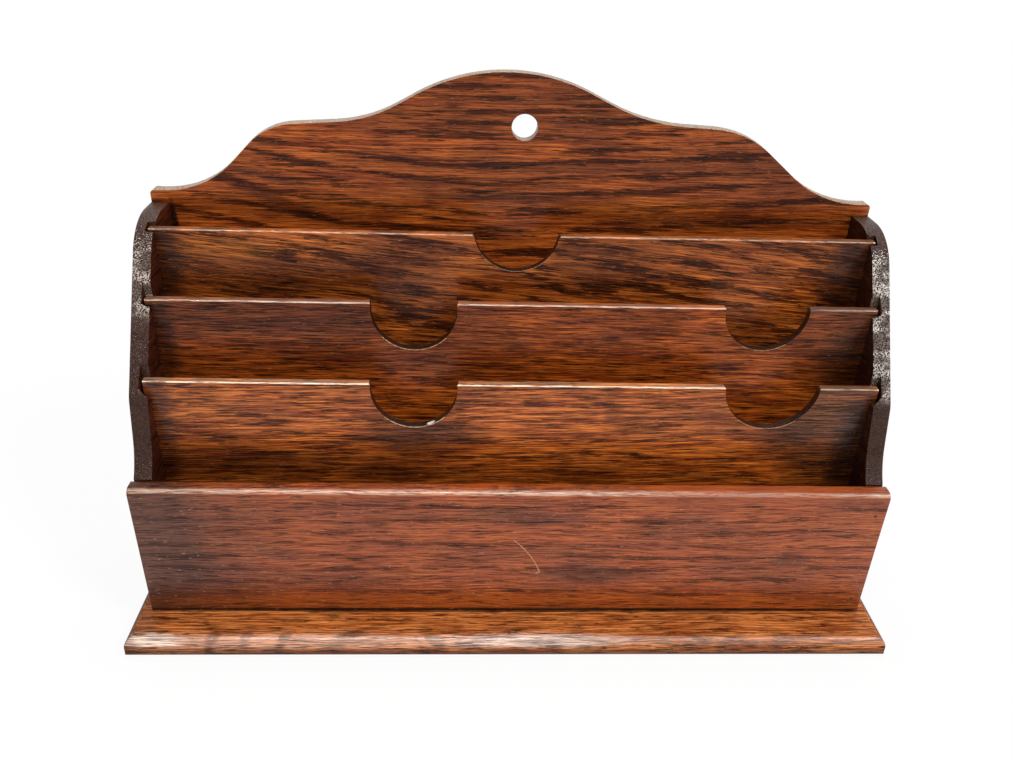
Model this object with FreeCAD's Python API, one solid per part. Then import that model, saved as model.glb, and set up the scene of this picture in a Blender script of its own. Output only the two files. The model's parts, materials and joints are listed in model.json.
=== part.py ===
import FreeCAD, Part
import math
import os

# Letter rack in stained oak: four envelope pockets between upright boards on a moulded base,
# with a scrolled back that has a hole to hang it by.
# Millimetres. +X is to the right seen from the front, +Y to the back, +Z up.
# The origin is on the table, below the middle of the base board.

Vector = FreeCAD.Vector

# Case and boards
case_width = 330.0  # over the side boards
side_thickness = 8.0
front_thickness = 8.0
back_thickness = 6.4
divider_thickness = 4.0
front_height = 68.0  # heights of boards are taken from the top of the base
front_overhang = 0.6  # of the front board, past each side board
side_height = 166.8
back_end_height = 172.0  # back board at its two ends

# Clear depth of each pocket, from the front one to the rear one
pocket_depths = [15.3, 14.5, 14.2, 21.0]

# Base board
base_thickness = 9.5
base_front_ledge = 19.0
base_side_ledge = 8.0
base_nose_radius = 5.0  # round on the upper edge of the front and the ends
base_foot_radius = 1.5  # round on the lower edge of the front and the ends

# Front edge of a side board: a flat top, a shoulder, a long slope, a knee, and a hollow that
# sweeps out to the front board. Setbacks are from the back of the front board, rises from its top.
side_top_length = 24.7
shoulder_radius = 26.0
knee_setback = 11.5
knee_rise = 33.5
knee_radius = 12.0
hollow_setback = 5.4
hollow_rise = 7.0
hollow_radius = 38.0

# Grooves that hold the dividers
groove_depth = 3.5
groove_play = 0.1  # on each face of a divider
groove_end_play = 1.0  # between a divider's end and the bottom of its groove
divider_stand = 0.5  # dividers stand this much above the side boards' front edge
feather_reliefs = [3.5, 1.5, 0.8]  # thin wood broken out before each groove, front to rear
feather_taper = 0.35  # how much of it is left at the bottom of the groove

# Finger notches: (place along the divider, width, depth), front divider to rear divider
finger_notches = [
    [(-44.5, 37.5, 21.5), (112.5, 42.0, 20.5)],
    [(-45.0, 37.5, 22.3), (110.5, 37.5, 20.3)],
    [(-0.5, 37.5, 16.6)],
]
notch_mouth_radii = [0.8, 0.8, 2.0]

# Scrolled top of the back board. Feet and shoulders are measured in from the board's ends,
# necks and crown from its middle, and rises from its end height.
foot_inset_left = 24.8
foot_inset_right = 24.0
foot_radius_left = 45.0
foot_radius_right = 54.0
shoulder_inset_left = 54.5
shoulder_inset_right = 63.2
shoulder_rise_left = 30.1
shoulder_rise_right = 32.1
scroll_shoulder_radius_left = 31.0
scroll_shoulder_radius_right = 45.0
neck_place_left = -66.0
neck_place_right = 56.5
neck_rise_left = 33.0
neck_rise_right = 34.4
neck_radius_left = 66.0
neck_radius_right = 88.0
crown_place = -7.5
crown_rise = 65.1  # where the two straight flanks would meet
crown_radius = 83.7
back_corner_radius = 1.8

# Hole to hang the rack by
hang_hole_diameter = 11.5
hang_hole_place = 2.5
hang_hole_rise = 31.5  # above the back board's end height

# Rounds on the edges of the boards
front_top_radius = 3.0
front_top_back_radius = 2.0
divider_front_radius = 1.0
divider_back_radius = 0.6

# Headless panel pins: the front, back and base boards are pinned to the edges of the side boards,
# and the base board to the back board too
pin_diameter = 1.8
pin_length = 25.0
pin_sink = 1.5  # below the face, filled with stopping
front_pin_low = 7.5  # above the lower edge of the front board
front_pin_high = 11.5  # below the upper edge of the front board
back_pin_heights = [22.0, 86.0, 150.0]
back_board_pin_place = 62.0  # from the middle, where the base is pinned to the back board

# Places that follow from the sizes above
half_width = case_width / 2
inner_half_width = half_width - side_thickness
case_depth = front_thickness + sum(pocket_depths) + 3 * divider_thickness + back_thickness
base_width = case_width + 2 * base_side_ledge
base_depth = base_front_ledge + case_depth
base_front_y = -base_depth / 2
rear_y = base_depth / 2
front_y = base_front_y + base_front_ledge
front_back_y = front_y + front_thickness
back_front_y = rear_y - back_thickness
base_top = base_thickness
divider_half_length = inner_half_width + groove_depth - groove_end_play
pin_x = half_width - side_thickness / 2
notch_run_out = divider_thickness  # how far a notch's cutter reaches past the board


def corner_arc(before, corner, after, radius):
    """Start, middle and end of the arc that rounds a corner, tangent to both runs."""
    back = (before - corner).normalize()
    on = (after - corner).normalize()
    half_angle = back.getAngle(on) / 2
    reach = radius / math.tan(half_angle)
    bisector = (back + on).normalize()
    middle = corner + bisector * (radius / math.sin(half_angle) - radius)
    return corner + back * reach, middle, corner + on * reach


def fitting_radii(points, radii):
    """The corner radii, made smaller where two arcs would need more than their shared run."""
    count = len(points)
    reach_per_radius = []
    for i in range(count):
        back = points[i - 1] - points[i]
        on = points[(i + 1) % count] - points[i]
        reach_per_radius.append(1 / math.tan(back.getAngle(on) / 2))
    fitted = list(radii)
    for i in range(count):
        j = (i + 1) % count
        run = (points[j] - points[i]).Length
        need = radii[i] * reach_per_radius[i] + radii[j] * reach_per_radius[j]
        if need > run:
            fitted[i] = min(fitted[i], radii[i] * run / need)
            fitted[j] = min(fitted[j], radii[j] * run / need)
    return fitted


def outline_face(corners):
    """A face inside straight runs that meet in tangent arcs. Each corner is (point, radius)."""
    points = [point for point, _ in corners]
    radii = fitting_radii(points, [radius for _, radius in corners])
    count = len(points)
    stops = []
    for i in range(count):
        if radii[i] > 0:
            stops.append(corner_arc(points[i - 1], points[i], points[(i + 1) % count], radii[i]))
        else:
            stops.append((points[i], None, points[i]))
    edges = []
    for i in range(count):
        start, middle, end = stops[i]
        if middle is not None:
            edges.append(Part.Arc(start, middle, end).toShape())
        following = stops[(i + 1) % count][0]
        if end.distanceToPoint(following) > 1e-6:
            edges.append(Part.makeLine(end, following))
    return Part.Face(Part.Wire(edges))


def rounded_edges(solid, radius, wanted):
    """The solid with a round on each edge that wanted(edge) picks."""
    return solid.makeFillet(radius, [edge for edge in solid.Edges if wanted(edge)])


def lies_at(edge, axis, place):
    """Whether the whole edge lies at that place along the axis, which is X, Y or Z."""
    low = getattr(edge.BoundBox, axis + "Min")
    high = getattr(edge.BoundBox, axis + "Max")
    return abs(low - place) < 1e-4 and abs(high - place) < 1e-4


def divider_front_y(index):
    """Front face of a divider, counted from the front."""
    return front_back_y + sum(pocket_depths[: index + 1]) + index * divider_thickness


def pocket_middle_y(index):
    """Middle of a pocket's depth, counted from the front."""
    before = sum(pocket_depths[:index]) + index * divider_thickness
    return front_back_y + before + pocket_depths[index] / 2


def side_face():
    """Outline of a side board, in the plane X = 0."""
    top = base_top + side_height
    front_top = base_top + front_height
    return outline_face(
        [
            (Vector(0, back_front_y, base_top), 0),
            (Vector(0, back_front_y, top), 0),
            (Vector(0, back_front_y - side_top_length, top), shoulder_radius),
            (Vector(0, front_back_y + knee_setback, front_top + knee_rise), knee_radius),
            (Vector(0, front_back_y + hollow_setback, front_top + hollow_rise), hollow_radius),
            (Vector(0, front_back_y, front_top), 0),
            (Vector(0, front_back_y, base_top), 0),
        ]
    )


def side_edge_height(y):
    """Height of the side boards' front edge at that depth."""
    upright = Part.makeLine(Vector(0, y, 0), Vector(0, y, 2 * (base_top + side_height)))
    return upright.common(side_face()).BoundBox.ZMax


def divider_top(index):
    """Upper edge of a divider, just above the side boards' front edge where they meet."""
    return side_edge_height(divider_front_y(index)) + divider_stand


def front_pin_places():
    """Places of the front board's pins, across and up."""
    heights = [base_top + front_pin_low, base_top + front_height - front_pin_high]
    return [(x, z) for x in (-pin_x, pin_x) for z in heights]


def back_pin_places():
    """Places of the back board's pins, across and up."""
    return [(x, base_top + height) for x in (-pin_x, pin_x) for height in back_pin_heights]


def rods(places, face_y, direction, start, end):
    """Round rods of the pins' diameter that go in from a face, between two depths."""
    offset = direction * start
    return [
        Part.makeCylinder(
            pin_diameter / 2, end - start, Vector(x, face_y, z) + offset, direction
        )
        for x, z in places
    ]


def front_rods(start, end):
    """Rods behind the front board's face, between two depths."""
    return rods(front_pin_places(), front_y, Vector(0, 1, 0), start, end)


def back_rods(start, end):
    """Rods in front of the back board's rear face, between two depths."""
    return rods(back_pin_places(), rear_y, Vector(0, -1, 0), start, end)


def base_pins():
    """The pins up through the base. Those in the side boards stay clear of the grooves."""
    places = [(x, pocket_middle_y(index)) for x in (-pin_x, pin_x) for index in (1, 3)]
    back_y = rear_y - back_thickness / 2
    places += [(x, back_y) for x in (-back_board_pin_place, back_board_pin_place)]
    return [Part.makeCylinder(pin_diameter / 2, pin_length, Vector(x, y, 0)) for x, y in places]


def base_section(near, far, near_rounded, far_rounded, place):
    """Section of the base board between two edges, each with a round nose or square."""
    near_nose, near_foot = (base_nose_radius, base_foot_radius) if near_rounded else (0, 0)
    far_nose, far_foot = (base_nose_radius, base_foot_radius) if far_rounded else (0, 0)
    return outline_face(
        [
            (place(near, 0), near_foot),
            (place(far, 0), far_foot),
            (place(far, base_top), far_nose),
            (place(near, base_top), near_nose),
        ]
    )


def base_board():
    """Base board: the front nose and the end noses meet in mitres."""
    half = base_width / 2
    along_x = base_section(base_front_y, rear_y, True, False, lambda y, z: Vector(-half, y, z))
    along_y = base_section(-half, half, True, True, lambda x, z: Vector(x, base_front_y, z))
    board = along_x.extrude(Vector(base_width, 0, 0))
    board = board.common(along_y.extrude(Vector(0, base_depth, 0)))
    return board.cut(base_pins())


def back_board():
    """Back board with its scrolled top and the hole to hang it by."""
    end = base_top + back_end_height
    corners = [
        (-half_width, base_top, 0),
        (half_width, base_top, 0),
        (half_width, end, back_corner_radius),
        (half_width - foot_inset_right, end, foot_radius_right),
        (
            half_width - shoulder_inset_right,
            end + shoulder_rise_right,
            scroll_shoulder_radius_right,
        ),
        (neck_place_right, end + neck_rise_right, neck_radius_right),
        (crown_place, end + crown_rise, crown_radius),
        (neck_place_left, end + neck_rise_left, neck_radius_left),
        (-half_width + shoulder_inset_left, end + shoulder_rise_left, scroll_shoulder_radius_left),
        (-half_width + foot_inset_left, end, foot_radius_left),
        (-half_width, end, back_corner_radius),
    ]
    face = outline_face([(Vector(x, back_front_y, z), radius) for x, z, radius in corners])
    board = face.extrude(Vector(0, back_thickness, 0))
    hole = Part.makeCylinder(
        hang_hole_diameter / 2,
        back_thickness,
        Vector(hang_hole_place, back_front_y, end + hang_hole_rise),
        Vector(0, 1, 0),
    )
    return board.cut([hole] + back_rods(0, back_thickness) + base_pins())


def feather_cutter(index, inner_x, groove_x, groove_front):
    """Cutter for the wood broken out before a groove, less deep at the bottom of the groove."""
    relief = feather_reliefs[index]
    z = side_edge_height(groove_front - relief)
    points = [
        Vector(inner_x, groove_front, z),
        Vector(groove_x, groove_front, z),
        Vector(groove_x, groove_front - feather_taper * relief, z),
        Vector(inner_x, groove_front - relief, z),
    ]
    return Part.Face(Part.makePolygon(points + points[:1])).extrude(Vector(0, 0, side_height))


def side_board(side):
    """Side board: side is -1 for the left one and 1 for the right one."""
    inner_x = side * inner_half_width
    face = side_face()
    face.translate(Vector(inner_x, 0, 0))
    board = face.extrude(Vector(side * side_thickness, 0, 0))
    tools = []
    for index in range(len(finger_notches)):
        groove_front = divider_front_y(index) - groove_play
        groove_width = divider_thickness + 2 * groove_play
        groove_x = inner_x + side * groove_depth
        inner_edge = min(inner_x, groove_x)
        groove = Part.makeBox(
            groove_depth, groove_width, side_height, Vector(inner_edge, groove_front, base_top)
        )
        tools += [groove, feather_cutter(index, inner_x, groove_x, groove_front)]
    pin_end = pin_sink + pin_length
    return board.cut(tools + front_rods(0, pin_end) + back_rods(0, pin_end) + base_pins())


def front_board():
    """Front board with its upper edges rounded over."""
    top = base_top + front_height
    half = half_width + front_overhang
    board = Part.makeBox(
        2 * half, front_thickness, front_height, Vector(-half, front_y, base_top)
    )
    for radius, face_y in ((front_top_radius, front_y), (front_top_back_radius, front_back_y)):
        board = rounded_edges(
            board, radius, lambda edge: lies_at(edge, "Z", top) and lies_at(edge, "Y", face_y)
        )
    return board.cut(front_rods(0, front_thickness))


def notch_cutter(index, place, width, depth, mouth_radius):
    """Cutter of a finger notch: a round end, straight above its middle, with an eased mouth."""
    y = divider_front_y(index) - notch_run_out
    through = divider_thickness + 2 * notch_run_out
    top = divider_top(index)
    middle_z = top - depth + width / 2
    cutter = Part.makeCylinder(width / 2, through, Vector(place, y, middle_z), Vector(0, 1, 0))
    if middle_z < top:
        walls = Part.makeBox(
            width, through, top - middle_z, Vector(place - width / 2, y, middle_z)
        )
        cutter = cutter.fuse(walls)
    above = Part.makeBox(2 * width, through, width, Vector(place - width, y, top))
    cutter = cutter.fuse(above).removeSplitter()

    def at_the_mouth(edge):
        upright = lies_at(edge, "Z", top) and abs(edge.BoundBox.YLength - through) < 1e-4
        return upright and abs(edge.CenterOfMass.x - place) < 0.75 * width

    return rounded_edges(cutter, mouth_radius, at_the_mouth)


def divider(index):
    """Divider between two pockets, counted from the front."""
    y = divider_front_y(index)
    top = divider_top(index)
    board = Part.makeBox(
        2 * divider_half_length,
        divider_thickness,
        top - base_top,
        Vector(-divider_half_length, y, base_top),
    )
    for radius, face_y in ((divider_front_radius, y), (divider_back_radius, y + divider_thickness)):
        board = rounded_edges(
            board, radius, lambda edge: lies_at(edge, "Z", top) and lies_at(edge, "Y", face_y)
        )
    mouth_radius = notch_mouth_radii[index]
    cutters = [
        notch_cutter(index, place, width, depth, mouth_radius)
        for place, width, depth in finger_notches[index]
    ]
    return board.cut(cutters)


def export(name, solids):
    """Writes one node, a solid or a group of equal solids, to its STEP file."""
    shape = solids[0] if len(solids) == 1 else Part.makeCompound(solids)
    shape.exportStep(os.path.join("parts", name + ".step"))


os.makedirs("parts", exist_ok=True)
export("base_board", [base_board()])
export("back_board", [back_board()])
export("side_board_left", [side_board(-1)])
export("side_board_right", [side_board(1)])
export("front_board", [front_board()])
export("divider_front", [divider(0)])
export("divider_middle", [divider(1)])
export("divider_rear", [divider(2)])
export("front_board_pins", front_rods(pin_sink, pin_sink + pin_length))
export("back_board_pins", back_rods(pin_sink, pin_sink + pin_length))
export("base_pins", base_pins())
export("front_pin_stopping", front_rods(0, pin_sink))
export("back_pin_stopping", back_rods(0, pin_sink))
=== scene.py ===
"""Letter rack of dark-stained, gloss-varnished oak: its finishes, eased edges and studio."""

import json
import logging
import math
from dataclasses import dataclass
from enum import Enum
from typing import Any

import bmesh
import bpy
from mathutils import Matrix, Vector

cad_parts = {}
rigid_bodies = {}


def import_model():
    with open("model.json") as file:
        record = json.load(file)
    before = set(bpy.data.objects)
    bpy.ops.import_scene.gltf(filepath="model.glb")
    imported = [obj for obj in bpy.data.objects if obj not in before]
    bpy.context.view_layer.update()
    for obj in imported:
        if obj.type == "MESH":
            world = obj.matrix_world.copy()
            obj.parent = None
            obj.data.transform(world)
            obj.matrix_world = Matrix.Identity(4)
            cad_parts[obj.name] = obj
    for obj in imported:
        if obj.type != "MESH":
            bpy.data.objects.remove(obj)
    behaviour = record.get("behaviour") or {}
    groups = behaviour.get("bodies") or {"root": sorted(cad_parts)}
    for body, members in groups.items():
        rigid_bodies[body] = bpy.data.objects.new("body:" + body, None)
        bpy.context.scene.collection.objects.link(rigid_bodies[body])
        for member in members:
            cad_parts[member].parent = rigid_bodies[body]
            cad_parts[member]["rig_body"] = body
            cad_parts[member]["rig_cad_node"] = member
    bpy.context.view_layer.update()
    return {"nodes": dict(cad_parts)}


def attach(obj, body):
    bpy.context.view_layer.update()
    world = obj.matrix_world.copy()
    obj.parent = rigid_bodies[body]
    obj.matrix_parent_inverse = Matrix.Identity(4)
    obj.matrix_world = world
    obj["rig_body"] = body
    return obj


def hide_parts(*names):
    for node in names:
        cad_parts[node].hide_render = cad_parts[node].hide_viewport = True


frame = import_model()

log = logging.getLogger("letter_rack")

MM = 0.001
# In mm, and past the end of any board.
FAR = 1000.0
# In pixels: the frame's width, which goes with the camera's focal length.
FRAME_WIDTH = 1012
BODY = "root"


# ---------------------------------------------------------------- small helpers


def linear(code: str) -> tuple[float, float, float, float]:
    """Turns an sRGB hex colour into linear light.

    Args:
        code: The colour as "#rrggbb".

    Returns:
        Red, green, blue and an alpha of 1.
    """
    channels = [int(code[i : i + 2], 16) / 255 for i in (1, 3, 5)]
    return (*(c / 12.92 if c <= 0.04045 else ((c + 0.055) / 1.055) ** 2.4 for c in channels), 1.0)


def add_node(
    tree: bpy.types.NodeTree,
    name: str,
    kind: str,
    settings: dict[str, Any] | None = None,
    feeds: dict[int | str, Any] | None = None,
) -> bpy.types.Node:
    """Adds a named shader node, sets it up and feeds its inputs.

    Args:
        tree: The node tree to add to.
        name: The node's name, by which later nodes read it.
        kind: The node's type, without the leading "ShaderNode".
        settings: Properties of the node and their values.
        feeds: Inputs by name or number, and for each a constant, or a string that names an
            earlier node or "node.output".

    Returns:
        The new node.
    """
    node = tree.nodes.new("ShaderNode" + kind)
    node.name = node.label = name
    for key, value in (settings or {}).items():
        setattr(node, key, value)
    for key, value in (feeds or {}).items():
        if isinstance(value, str):
            source, _, output = value.partition(".")
            tree.links.new(tree.nodes[source].outputs[output or 0], node.inputs[key])
        else:
            node.inputs[key].default_value = value
    return node


def new_tree(owner: bpy.types.Material | bpy.types.World) -> bpy.types.NodeTree:
    """Empties the node tree of a material or world.

    Args:
        owner: The material or world.

    Returns:
        Its node tree.
    """
    owner.use_nodes = True
    owner.node_tree.nodes.clear()
    return owner.node_tree


def deselect_all() -> None:
    """Leaves object mode with nothing selected."""
    if bpy.context.mode != "OBJECT":
        bpy.ops.object.mode_set(mode="OBJECT")
    bpy.ops.object.select_all(action="DESELECT")


def make_active(piece: bpy.types.Object) -> None:
    """Selects one object alone and makes it the active one.

    Args:
        piece: The object.
    """
    deselect_all()
    piece.select_set(True)
    bpy.context.view_layer.objects.active = piece


# ---------------------------------------------------------------- finishes


PLUS = {"operation": "ADD"}
MINUS = {"operation": "SUBTRACT"}
TIMES = {"operation": "MULTIPLY"}
TIMES_PLUS = {"operation": "MULTIPLY_ADD"}
SCALED = {"operation": "SCALE"}
LENGTH = {"operation": "LENGTH"}
UNSIGNED = {"operation": "ABSOLUTE"}
LARGER = {"operation": "MAXIMUM"}
SMALLER = {"operation": "MINIMUM"}
ABOVE = {"operation": "GREATER_THAN"}
BELOW = {"operation": "LESS_THAN"}
NEAR = {"operation": "COMPARE"}
SMOOTH = {"interpolation_type": "SMOOTHSTEP"}
DIVIDE_BY_SCALE = {"vector_type": "TEXTURE"}
# Numbers of inputs, of Mapping and then of Map Range.
LOCATION, ROTATION, SCALE = 1, 2, 3
FROM_LOW, FROM_HIGH, TO_LOW, TO_HIGH = 1, 2, 3, 4


class Lay(Enum):
    """How a board lies: the axes along its grain, across its face and through it."""

    UPRIGHT = ("X", "Z", "Y")
    FLAT = ("X", "Y", "Z")
    ENDWAYS = ("Y", "Z", "X")


@dataclass(frozen=True)
class Mark:
    """A cloudy place in the stain, a chip, or a patch of painted shade or highlight, placed by
    the board's three axes, in mm.

    It goes right through the board unless it has a thickness of its own. Its depth is the
    share of its colour that it takes on, its tilt is in degrees, and fray makes it ragged.
    """

    along: float
    across: float
    length: float
    height: float
    depth: float = 0.6
    tilt: float = 0.0
    fray: float = 1.0
    colour: str = "#3b1505"
    through: float = 0.0
    thickness: float = 2 * FAR


@dataclass(frozen=True)
class PaleArc:
    """A pale line along an arc, right of its centre and between two heights, in mm.

    The noise that it is broken by makes it faint in places.
    """

    along: float
    across: float
    radius: float
    low: float
    high: float
    colour: str = "#d69a70"
    half_width: float = 0.25
    both_sides: bool = False
    broken_by: str = "vessels"


@dataclass(frozen=True)
class LipHighlight(PaleArc):
    """The lower lip of a finger notch, with a painted highlight in fine dots, on both sides of its
    middle.
    """

    half_width: float = 0.16
    both_sides: bool = True
    broken_by: str = "grit"


@dataclass(frozen=True)
class StainedOak:
    """Flat-sawn oak, stained dark with its pores left open, under a gloss varnish.

    The stain sinks into the porous early wood, so that shows as dark, feathered lenses and
    fine dashes along the grain, and the dense late wood between them stays warm and lighter.
    The varnish is brushed and thin: it mirrors lamps sharply and dips at each open pore.
    Sizes and places are in mm, and a slope is a rise over a run.
    """

    name: str
    lay: Lay = Lay.UPRIGHT
    light: str = "#c56523"
    middle: str = "#8d3b0d"
    dark: str = "#361203"
    cloud: str = "#5c260a"
    fleck: str = "#d9a57c"
    # The worn colour is also a painted highlight on the upper edges.
    worn: str = "#e6ac80"
    end: str = "#482a1c"
    end_dark: str = "#26140c"
    ring_from: float = 0.0
    ring_spacing: float = 9.0
    ring_crowding: float = 0.0
    ring_share: float = 0.05
    ring_bend: float = 0.0
    ring_bend_from: float = 0.0
    ring_slope: float = 0.0
    patch_share: float = 0.8
    lens_length: float = 20.0
    lens_height: float = 1.7
    lens_amount: float = 0.0
    lens_depth: float = 0.85
    cloud_amount: float = 0.5
    fibre_depth: float = 0.52
    pore_depth: float = 0.75
    pore_amount: float = 0.0
    fleck_amount: float = 0.3
    wear_and_highlight: float = 0.6
    rough_edges: float = 0.0
    rough_below: float = FAR
    glint: str = "#e6dcd0"
    glint_from: float = 0.0
    glint_to: float = 0.0
    brush_depth: float = 1.5
    sheen_spread: float = 0.14
    varnish: float = 0.35
    grain_slope: float = 0.0
    wave: float = 2.0
    shift: tuple[float, float, float] = (0.0, 0.0, 0.0)
    marks: tuple[Mark, ...] = ()
    chips_and_dimmed_highlights: tuple[Mark, ...] = ()
    scratches: tuple[PaleArc, ...] = ()

    def material(self) -> bpy.types.Material:
        """Makes the finish.

        Returns:
            The material.
        """
        material = bpy.data.materials.new(self.name)
        tree = new_tree(material)
        self.add_grain(tree)
        self.add_figure(tree)
        self.add_stain(tree)
        self.add_wear_and_highlight(tree)
        self.add_end_grain(tree)
        chipped_and_dimmed = self.add_marks(tree, "ended", "chip_and_dim", self.chips_and_dimmed_highlights)
        colour = self.add_scratches(tree, chipped_and_dimmed)
        self.add_relief(tree)
        shine = {
            "Base Color": colour,
            "Roughness": "matt_pores",
            "IOR": 1.5,
            "Specular IOR Level": 0.1,
            "Coat Weight": "coat_left",
            "Coat Roughness": self.sheen_spread,
            "Coat IOR": 1.5,
            "Normal": "relief",
            "Coat Normal": "relief",
        }
        add_node(tree, "varnished_wood", "BsdfPrincipled", feeds=shine)
        add_node(tree, "output", "OutputMaterial", feeds={"Surface": "varnished_wood"})
        return material

    def add_grain(self, tree: bpy.types.NodeTree) -> None:
        """Adds the place in mm along, across and through the board, and the grain's path.

        Args:
            tree: The finish's node tree.
        """
        along, across, through = self.lay.value
        add_node(tree, "coords", "TexCoord")
        add_node(tree, "axes", "SeparateXYZ", feeds={0: "coords.Object"})
        add_node(tree, "facing", "SeparateXYZ", feeds={0: "coords.Normal"})
        order = {0: "axes." + along, 1: "axes." + across, 2: "axes." + through}
        add_node(tree, "turned", "CombineXYZ", feeds=order)
        add_node(tree, "place", "VectorMath", SCALED, {0: "turned", "Scale": 1 / MM})
        add_node(tree, "here", "VectorMath", PLUS, {0: "place", 1: self.shift})
        # The grain wanders a few millimetres from straight.
        drift_size = {0: "here", SCALE: (75.0, 15.0, 15.0)}
        add_node(tree, "drift_size", "Mapping", DIVIDE_BY_SCALE, drift_size)
        drift = {"Vector": "drift_size", "Scale": 1.0, "Detail": 2.0, "Roughness": 0.5}
        add_node(tree, "drift", "TexNoise", feeds=drift)
        add_node(tree, "start", "SeparateXYZ", feeds={0: "place"})
        wander = {0: "drift", 1: 2 * self.wave, 2: -self.wave}
        add_node(tree, "wander", "Math", TIMES_PLUS, wander)
        swing = {0: "start.X", 1: self.grain_slope, 2: "wander"}
        add_node(tree, "swing", "Math", TIMES_PLUS, swing)
        add_node(tree, "sideways", "CombineXYZ", feeds={1: "swing"})
        add_node(tree, "grain", "VectorMath", PLUS, {0: "here", 1: "sideways"})

    def add_figure(self, tree: bpy.types.NodeTree) -> None:
        """Adds the growth rings, the noises, the early wood's lenses and the vessels.

        Args:
            tree: The finish's node tree.
        """
        # Rings cut at a low angle. Left of ring_bend_from they sweep down across the board.
        add_node(tree, "to_bend", "Math", MINUS, {0: "start.X", 1: self.ring_bend_from})
        add_node(tree, "past_bend", "Math", SMALLER, {0: "to_bend", 1: 0.0})
        add_node(tree, "bow", "Math", TIMES, {0: "past_bend", 1: "past_bend"})
        add_node(tree, "bent", "Math", TIMES, {0: "bow", 1: -self.ring_bend})
        leaning = {0: "start.X", 1: self.ring_slope, 2: "bent"}
        add_node(tree, "leaning", "Math", TIMES_PLUS, leaning)
        add_node(tree, "ring_lift", "Math", PLUS, {0: "leaning", 1: "wander"})
        add_node(tree, "ring_across", "Math", PLUS, {0: "start.Y", 1: "ring_lift"})
        add_node(tree, "ring_depth", "Math", MINUS, {0: "ring_across", 1: self.ring_from})
        crowding = {0: "ring_depth", 1: self.ring_crowding, 2: 1.0}
        add_node(tree, "crowding", "Math", TIMES_PLUS, crowding)
        add_node(tree, "ring_count", "Math", TIMES, {0: "ring_depth", 1: "crowding"})
        turn = 2 * math.pi / self.ring_spacing
        add_node(tree, "ring_turn", "Math", TIMES, {0: "ring_count", 1: turn})
        add_node(tree, "ring", "Math", {"operation": "COSINE"}, {0: "ring_turn"})
        add_node(tree, "lift", "CombineXYZ", feeds={1: "ring_lift"})
        add_node(tree, "ringwise", "VectorMath", PLUS, {0: "here", 1: "lift"})
        # For each noise: the place that it reads, the size of its features in mm along, across
        # and through the board, its detail and its roughness. Hairs and vessels are 0.2 to
        # 0.3 mm wide in real oak, and are drawn at 0.4 mm so that they show.
        long, high = self.lens_length, self.lens_height
        noises = {
            "lens": ("grain", (long, high, high), 4.0, 0.68),
            "hair": ("grain", (9.0, 0.40, 0.40), 2.0, 0.6),
            "patch": ("ringwise", (2.2 * long, 3.5 * high, 9.0), 1.5, 0.5),
            "vessels": ("grain", (11.0, 0.42, 0.42), 1.5, 0.6),
            "fibres": ("grain", (24.0, 0.5, 0.5), 3.0, 0.7),
            "streaks": ("grain", (34.0, 1.1, 1.1), 4.0, 0.7),
            "clouds": ("here", (48.0, 20.0, 20.0), 2.0, 0.5),
            "flecks": ("here", (3.5, 0.34, 0.34), 1.0, 0.5),
            "grit": ("here", (0.65, 0.65, 0.65), 1.0, 0.5),
            "brushing": ("grain", (9.0, 2.2, 2.2), 2.0, 0.5),
            "beads": ("here", (1.3, 0.7, 0.7), 2.0, 0.6),
        }
        for name, (place, size, detail, roughness) in noises.items():
            add_node(tree, name + "_size", "Mapping", DIVIDE_BY_SCALE, {0: place, SCALE: size})
            look = {"Scale": 1.0, "Detail": detail, "Roughness": roughness}
            add_node(tree, name, "TexNoise", feeds={"Vector": name + "_size", **look})
        # Soft steps: the noise, and the values at which a step starts and is full.
        steps = {
            "streak": ("streaks", 0.40, 0.60),
            "cloud": ("clouds", 0.40, 0.66),
            "fleck": ("flecks", 0.70, 0.76),
            "wear_and_highlight_breakup": ("hair", 0.36, 0.56),
            "end_grit": ("grit", 0.36, 0.60),
        }
        for name, (noise, low, high) in steps.items():
            step = {0: noise, FROM_LOW: low, FROM_HIGH: high}
            add_node(tree, name, "MapRange", SMOOTH, step)
        # Early wood: where rings, patches, lenses and hairs add up. A noise averages a half.
        hair_share = 0.6
        add_node(tree, "sum_1", "Math", TIMES_PLUS, {0: "ring", 1: self.ring_share, 2: "lens"})
        add_node(tree, "sum_2", "Math", TIMES_PLUS, {0: "hair", 1: hair_share, 2: "sum_1"})
        add_node(tree, "sum_3", "Math", TIMES_PLUS, {0: "patch", 1: self.patch_share, 2: "sum_2"})
        average = 0.5 * (1.0 + hair_share + self.patch_share)
        low = average + 0.06 - self.lens_amount
        early = {0: "sum_3", FROM_LOW: low, FROM_HIGH: low + 0.11}
        add_node(tree, "early", "MapRange", SMOOTH, early)
        # Vessels cut lengthways, more of them in the early wood.
        add_node(tree, "vessel_sum", "Math", TIMES_PLUS, {0: "early", 1: 0.06, 2: "vessels"})
        low = 0.56 - self.pore_amount
        vessel = {0: "vessel_sum", FROM_LOW: low, FROM_HIGH: low + 0.08}
        add_node(tree, "vessel", "MapRange", SMOOTH, vessel)

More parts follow.
